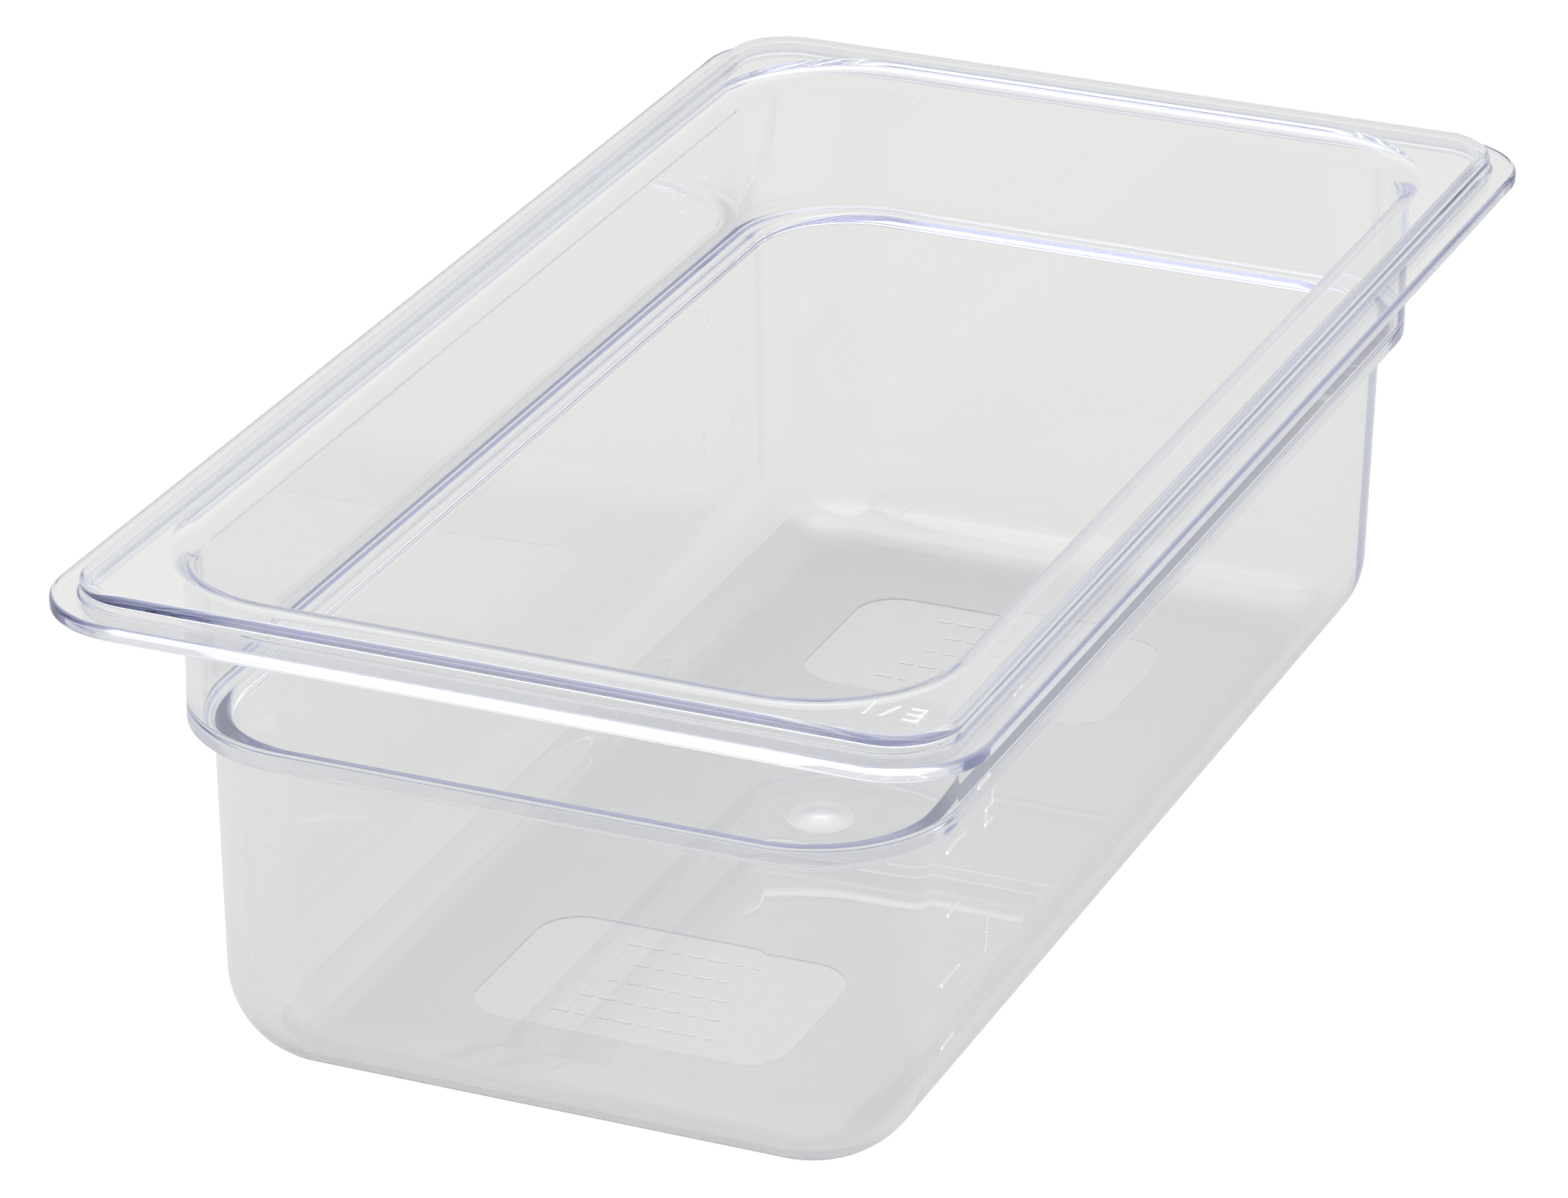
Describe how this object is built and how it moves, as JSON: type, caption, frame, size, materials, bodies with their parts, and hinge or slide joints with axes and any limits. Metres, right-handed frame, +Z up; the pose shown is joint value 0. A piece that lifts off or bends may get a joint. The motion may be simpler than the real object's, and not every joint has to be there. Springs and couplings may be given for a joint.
{
  "type": "deli food pan",
  "caption": "Clear plastic third-size food pan with a stepped flat rim, a stacking shoulder, tapered walls, a frosted base and moulded measuring scales.",
  "frame": {"origin": "middle of the underside of the pan, on the surface it stands on", "axes": "+X along the length, +Z up, +Y towards the long wall with the litre scale"},
  "size_m": [0.325, 0.176, 0.1003],
  "materials": {
    "clear_plastic": "polished clear polycarbonate, faint lavender where light runs along the wall",
    "frosted_plastic": "clear plastic with a fine frosted texture on its outside",
    "window_plastic": "polished clear plastic set in the frosted floor",
    "raised_marks": "polished raised strokes of the same clear plastic"
  },
  "bodies": {
    "root": {"rim_lip": "clear_plastic", "rim_land": "clear_plastic", "mouth_bend": "clear_plastic", "upper_wall": "clear_plastic", "stacking_shoulder": "clear_plastic", "lower_wall": "clear_plastic", "base_bend": "frosted_plastic", "base_floor": "frosted_plastic", "window_left": "window_plastic", "window_right": "window_plastic", "gate_button": "window_plastic", "litre_scale": "raised_marks", "quart_scale": "raised_marks", "size_mark": "raised_marks"}
  },
  "joints": []
}
